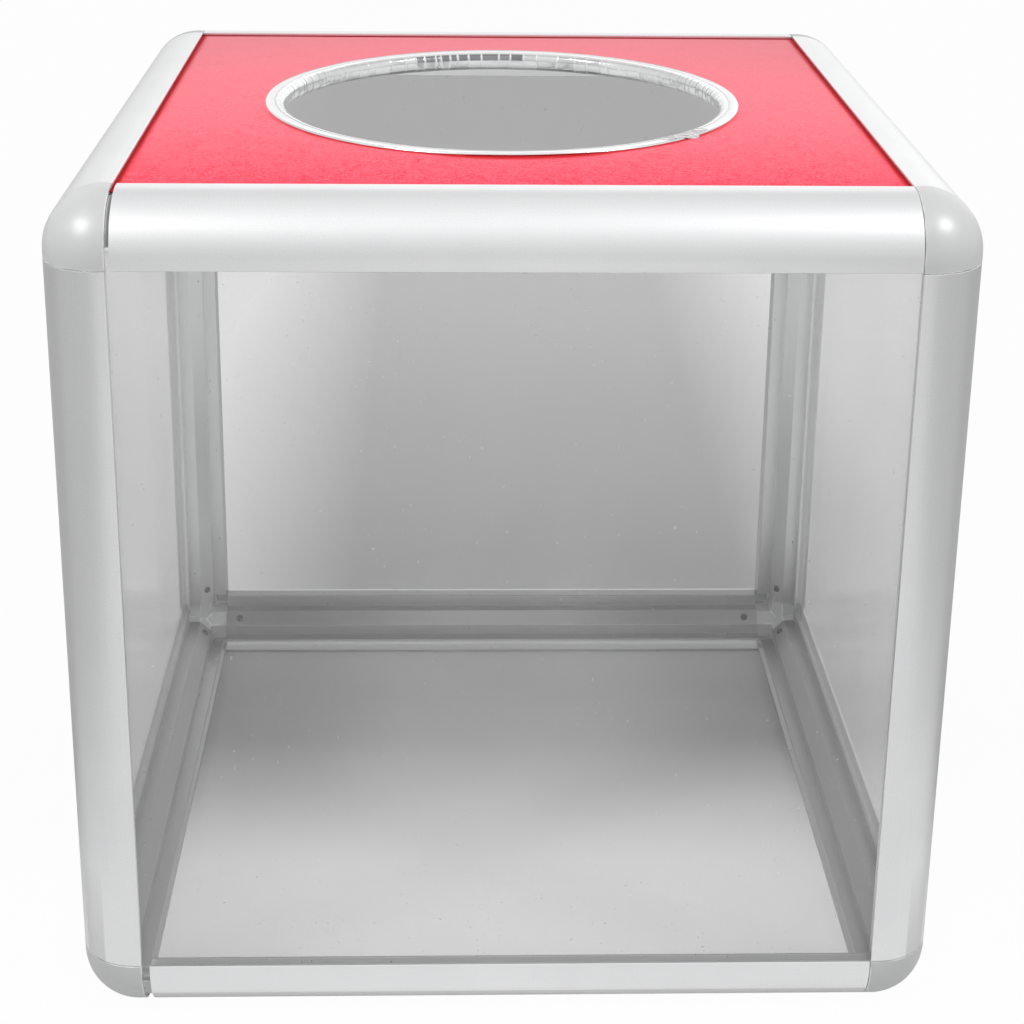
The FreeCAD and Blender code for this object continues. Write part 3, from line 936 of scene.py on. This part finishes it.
def trim_painted_reflection(outline, angles):
    """How bright each point of the trim is painted, from 0 to 1: painted reflections and shade.

    The top leg is bright all over, with a painted grey line in its groove. On the far side a second
    painted grey line runs where the bend begins, and some flats have a painted dark patch below it.
    The lower half of every flat has a painted tone of its own. The creases between the flats are thin
    painted lines, bright highlights in general and grey ones at the left and right of the ring. Each
    line is a bell curve of the distance to it, and each band a clipped straight line.
    """
    radius, below = outline[None, :, 0] - TRIM_WEB, TRIM_TOP - outline[None, :, 1]
    last = last_crease(angles)
    to_crease = np.minimum(angles - creases[last], creases[last + 1] - angles)[:, None] * TRIM_WEB
    on_bend = np.clip((3.0 * MM - radius) / (0.4 * MM), 0, 1)
    dim_line = 0.4 * np.exp(-((below - 0.75 * MM) / (0.3 * MM)) ** 2)
    dim_line = dim_line * np.clip(2.5 * np.sin(angles) - 0.8, 0, 1)[:, None]
    lower_half = np.clip((below - 3.2 * MM) / (1.4 * MM), 0, 1) * (1 - painted_flat_tone[last, None])
    far = np.clip((np.sin(angles) - 0.84) / 0.03, 0, 1)[:, None]
    patch = np.clip(6 - abs(below - 1.8 * MM) / (0.2 * MM), 0, 1) * painted_patch_tone[last, None]
    patch = patch * np.clip(to_crease / (0.4 * MM) - 0.5, 0, 1)
    bright = 1 - on_bend * (dim_line + lower_half + far * patch)
    bright = bright - 0.45 * np.exp(-((radius - TRIM_GROOVE) / (0.3 * MM)) ** 2) * (below < 1 * MM)
    line = np.exp(-(to_crease / (0.32 * MM)) ** 2) * np.clip((3.8 * MM - radius) / MM, 0, 1)
    at_side = np.clip((abs(np.cos(angles)) - 0.80) / 0.08, 0, 1)[:, None]
    return np.clip(np.maximum(bright, line * (1 - at_side)) - 0.4 * line * at_side, 0, 1)


# %% Trim ring
trim_outline = trim_section()
angles = np.linspace(trim_start, trim_end, 1850)
ring = trim_points(trim_outline, angles)
rows, columns = ring.shape[:2]
trim_faces = grid_faces(rows, columns, closed=True)[:, ::-1]
end_caps = [list(range(columns)), list(range((rows - 1) * columns, rows * columns))[::-1]]
trim_uv = np.stack(np.meshgrid(lengths_along(trim_outline), angles * TRIM_WEB), axis=-1)
trim_piece = make_piece(
    "trim_ring", ring, trim_faces.tolist() + end_caps, trim_material, ["hole_trim"], trim_uv
)
# The painted reflections and shade of the trim, one number per point.
mark_points(trim_piece, "bright", trim_painted_reflection(trim_outline, angles))
print("trim", rows, "by", columns)

# %% [markdown]
# ## Tape over the trim's joint
#
# The two ends of the trim meet at the front right, under a strip of clear tape. The tape follows
# the trim's own surface a hair above it, from the felt over the top and down the inner wall.


# %% Tape strip
TAPE_GAP, TAPE_FILM = 0.06 * MM, 0.05 * MM
TAPE_START, TAPE_END = -13.5 * MM, 9.0 * MM


def tape_profile():
    """The outside of the trim's U, moved outwards, from the top leg's end round to the lower leg.

    It is forty points, evenly spaced along points 2 to 36 of the trim's outline.
    """
    outside = moved_outwards(trim_outline, TAPE_GAP)[2:37]
    walk = lengths_along(outside)
    at = np.linspace(0, walk[-1] - 1.6 * MM, 40)
    return np.column_stack([np.interp(at, walk, outside[:, k]) for k in (0, 1)])


def tape_points(profile, angles):
    """The profile carried over the joint, with a flap that lies on the felt along part of it.

    The flap's share is a smooth bump over the angle. Where it is 1, the profile starts 2.4 mm
    outside the leg, on the felt, and climbs the leg's edge. Where it is 0, it starts on the leg.
    """
    share = np.clip(1.6 - abs(angles - JOINT_ANGLE + 0.02) / 0.035, 0, 1)[:, None]
    turned = trim_start + (angles - trim_start) % (2 * math.pi)
    strip = trim_points(profile, turned)
    out = np.stack([np.cos(angles), np.sin(angles)], axis=-1)[:, None, :]
    reach = np.array([2.4, 1.6, 0.8, 0.15])[None, :, None] * MM * share[..., None]
    flap = np.repeat(strip[:, :1], 4, axis=1)
    flap[..., :2] += out * reach
    on_felt = FELT_FACE + TAPE_GAP
    flap[..., 2] += (on_felt - flap[..., 2]) * share * np.array([1, 1, 1, 0.8])
    return np.concatenate([flap, strip], axis=1)


tape_angles = JOINT_ANGLE + np.linspace(TAPE_START, TAPE_END, 90) / HOLE_RADIUS
strip = tape_points(tape_profile(), tape_angles)
rows, columns = strip.shape[:2]
tape_uv = np.stack(np.meshgrid(np.arange(columns) * 0.25 * MM, tape_angles * HOLE_RADIUS), axis=-1)
tape_uv[..., 1] += 0.8 * tape_uv[..., 0]
tape_faces = grid_faces(rows, columns)[:, ::-1]
tape_piece = make_piece("joint_tape", strip, tape_faces, tape_material, ["trim_tape"], tape_uv)
film = tape_piece.modifiers.new("film", "SOLIDIFY")
film.thickness = TAPE_FILM
film.offset = 1
print("tape", rows, "by", columns)

# %% [markdown]
# ## Floor, light and background
#
# The box stands on white paper in soft light. The camera sees the paper itself lifted almost to
# white. Through the clear sheets it is grey, and the light that the box mirrors is less even still:
# the paper in front of the box is the brightest, and the paper behind it lies in the box's shade.
# So the paper is a matt shader in its tones, darkened by a painted shadow under and behind the box
# and further to its sides, and a white one is mixed in by a share that depends on the kind of ray:
# nearly all of it for the camera, painted light in one pattern of places for rays that came through
# a sheet, and in another for rays that were mirrored.

# %% Floor
PAPER_REACH = 8.0
PAPER_LEVEL = -0.2 * MM
around = [(-1, -1), (1, -1), (1, 1), (-1, 1)]
ends = [(x * PAPER_REACH, y * PAPER_REACH, PAPER_LEVEL) for x, y in around]
floor_mesh = bpy.data.meshes.new("floor")
floor_mesh.from_pydata(ends, [], [(0, 1, 2, 3)])
add_to_scene("floor", floor_mesh)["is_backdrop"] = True
print("paper", 2 * PAPER_REACH, "m wide")

# %% Paper's tones, with a painted shadow
paper = material("studio_paper")
across, deep, _ = paper.parts(paper.place())
aside, side = across.size(), (across - 0.03).size()
paper_tone = paper.blend(paper.noise(3.0, 4.0), grey(0.71), grey(0.74))
# Painted shadow: the matt paper darkens under and behind the box, and further out to the sides.
behind_box = paper.ramp(deep, -0.13, -0.03) * paper.ramp(side, 0.17, 0.35, 1.0, 0.55)
shade = behind_box.largest(paper.ramp(side, 0.25, 0.5, 0.0, 0.28))
tone_with_painted_shadow = paper.blend(shade, paper_tone, grey(0.38))
print("paper in its own tones")

# %% Paper through the sheets
# Painted light through the sheets: under the box, a pool of light that fades to the back. Behind
# and beside the box, brighter paper that begins at the box's outline, with a strip close to each side.
pool = paper.ramp(deep, 0.045, -0.05) * paper.ramp(side, 0.14, 0.08, 0.85, 1.0)
far_back = paper.ramp(deep, 1.15, 0.85)
outside = paper.ramp(aside, 0.138, 0.155).largest(paper.ramp(deep, 0.12, 0.18))
beside = paper.ramp(side, 0.10, 0.20, 0.0, 0.63) + paper.ramp(side, 0.30, 0.5, 0.0, 0.05)
beside = outside * far_back * beside
behind = paper.ramp(deep, 0.14, 0.2, 0.0, 0.12)
behind = behind + paper.ramp(deep, 0.18, 0.75, 0.0, 0.34) * (0.2 + 0.8 * far_back)
next_right = paper.ramp(across, 0.138, 0.150, 0.0, 0.30) * paper.ramp(across, 0.30, 0.18)
next_left = paper.ramp(across, -0.138, -0.150, 0.0, 0.12) * paper.ramp(across, -0.30, -0.2)
painted_light_through_sheet = (0.59 + paper.ramp(deep, -0.14, -0.24, 0.0, 0.18)) * pool + behind + beside
painted_light_through_sheet = painted_light_through_sheet + 0.07 * paper.ramp(deep, 0.09, 0.115) * paper.ramp(deep, 0.22, 0.14)
painted_light_through_sheet = painted_light_through_sheet + (next_right + next_left) * paper.ramp(deep, 0.30, 0.14)
painted_light_through_sheet = painted_light_through_sheet + 0.09 * paper.ramp(deep, 0.01, -0.03) * paper.ramp(deep, -0.12, -0.07)
print("paper through the sheets")

# %% Paper in mirrors, and the finished paper
# Painted light in mirrors: in front of the box a lane of bright paper, which goes on beside the
# posts and fades backwards.
in_front = paper.ramp(deep, -0.125, -0.148)
next_to_posts = paper.ramp(aside, 0.149, 0.160) * paper.ramp(deep, 0.0, -0.148, 0.0, 0.9)
lane = paper.ramp(side, 0.42, 0.22) * in_front.largest(next_to_posts)
lane_level = 0.50 + paper.ramp(deep, -0.32, -0.20, 0.0, 0.14) + paper.ramp(deep, -0.7, -0.9, 0.0, 0.25)
painted_light_in_mirrors = lane * lane_level
ray = paper.rays()
came_through = ray["Is Transmission Ray"]
white_share = 0.97 * ray["Is Camera Ray"] + painted_light_through_sheet * came_through
white_share = white_share + painted_light_in_mirrors * ray["Is Glossy Ray"] * (1 - came_through)
paper_matt = paper.node("ShaderNodeBsdfDiffuse", {}, {"Color": tone_with_painted_shadow})
paper_white = paper.node("ShaderNodeEmission", {}, {"Color": grey(1.0), "Strength": 1.0})
floor_mesh.materials.append(paper.surface(paper.mix(white_share, paper_matt, paper_white)))

# %% [markdown]
# The world is the room: an even light with wide soft lobes where the real room had its lamps and
# bright walls. Rays that came through a sheet see a darker room, brighter to the right, as the
# sheets show the room behind the box, and the camera sees plain white.

# %% World
LOBES = [
    (0.21, (0, -0.76, 0.65), 4), (0.27, (0, 0.1, 1), 3),
    (0.30, (-0.35, 0.92, 0.18), 16), (0.75, (0.48, 0.86, 0.2), 18), (0.30, (0, 0.95, 0.30), 50),
    (0.13, (-0.95, -0.3, 0), 5), (0.13, (0.95, -0.3, 0), 5),
]
LOBES_THROUGH = [(1.5, (0.85, -0.5, 0), 2), (0.25, (-0.5, -0.86, 0), 3)]


def room(level, lobes):
    """An even level plus, for each lobe, its strength times (likeness to its direction) ** power."""
    for strength, direction, power in lobes:
        level = level + strength * sky.towards(direction, power)
    return level


world = bpy.data.worlds.new("studio")
bpy.context.scene.world = world
sky = Finish(world)
ray = sky.rays()
seen, came_through = ray["Is Camera Ray"], ray["Is Transmission Ray"]
not_seen = room(0.42, LOBES_THROUGH) * came_through + (1 - came_through) * room(0.67, LOBES)
level = seen + (1 - seen) * not_seen
backdrop = sky.node("ShaderNodeBackground", {}, {"Color": grey(1.0), "Strength": level})
sky.surface(backdrop, "ShaderNodeOutputWorld")

# %% [markdown]
# A soft lamp behind the box lifts the far edge of the top. The other two are narrow beams, each
# aimed at one front ball, where they set the small soft highlight.

# %% Lamps
def softbox(name, place, aim, size, painted_reflection, spread):
    """A square area lamp at a place, turned towards a point, with its brightness per area."""
    data = bpy.data.lights.new(name, "AREA")
    data.shape = "RECTANGLE"
    data.size, data.size_y = size
    data.energy = painted_reflection * math.pi * size[0] * size[1]
    data.spread = math.radians(spread)
    lamp = add_to_scene(name, data)
    lamp.location = place
    lamp.rotation_euler = (Vector(aim) - Vector(place)).to_track_quat("-Z", "Y").to_euler()
    print(name, round(data.energy, 2), "W")


softbox("back_strip", (0, 0.95, 0.86), (0, 0.05, 0.297), (0.9, 0.25), 0.05, 60)
softbox("left_softbox", (-0.94, -0.71, 1.26), (-0.13, -0.129, 0.278), (0.28, 0.28), 0.50, 10)
softbox("right_softbox", (0.94, -0.60, 1.32), (0.13, -0.129, 0.278), (0.28, 0.28), 0.47, 10)

# %% [markdown]
# ## Camera
#
# The camera stands where the photograph was taken: about 0.77 m in front of the box's middle and
# 0.47 m up, tilted 18.6 degrees down. The focal length and the row of the optical axis are in
# pixels of the picture. The axis lies above the picture's middle, which is a vertical shift.

# %% Camera
PICTURE = 1024
FOCAL_LENGTH = 2082.2
MIDDLE_ROW = 319.5
camera_data = bpy.data.cameras.new("camera")
camera_data.sensor_width = 36.0
camera_data.lens = FOCAL_LENGTH * camera_data.sensor_width / PICTURE
camera_data.shift_y = (MIDDLE_ROW - PICTURE / 2) / PICTURE
camera_data.clip_start = 0.05
camera = add_to_scene("camera", camera_data)
bpy.context.scene.camera = camera


def camera_turn(pitch, yaw, roll):
    """The camera's right, up and backward directions as the columns of a matrix.

    Right lies level at the yaw, forward at the yaw and down by the pitch, and up is their cross
    product. The roll then turns right and up about forward.
    """
    p, y, r = (math.radians(angle) for angle in (pitch, yaw, roll))
    right = np.array([math.cos(y), math.sin(y), 0])
    forward = np.array([-math.sin(y) * math.cos(p), math.cos(y) * math.cos(p), -math.sin(p)])
    up = np.cross(right, forward)
    level, lean = math.cos(r), math.sin(r)
    return np.column_stack([right * level + up * lean, up * level - right * lean, -forward])


turn = Matrix(camera_turn(18.558, -1.782, 0.692).tolist()).to_4x4()
turn.translation = (-0.02057, -0.76684, 0.46779)
camera.matrix_world = turn
bpy.context.scene.view_settings.view_transform = "Standard"
print("camera", round(camera_data.lens, 2), "mm")

# %% Size of what is shown, and the end
low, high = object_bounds()
print("visual box", [round(v, 4) for v in low], [round(v, 4) for v in high])
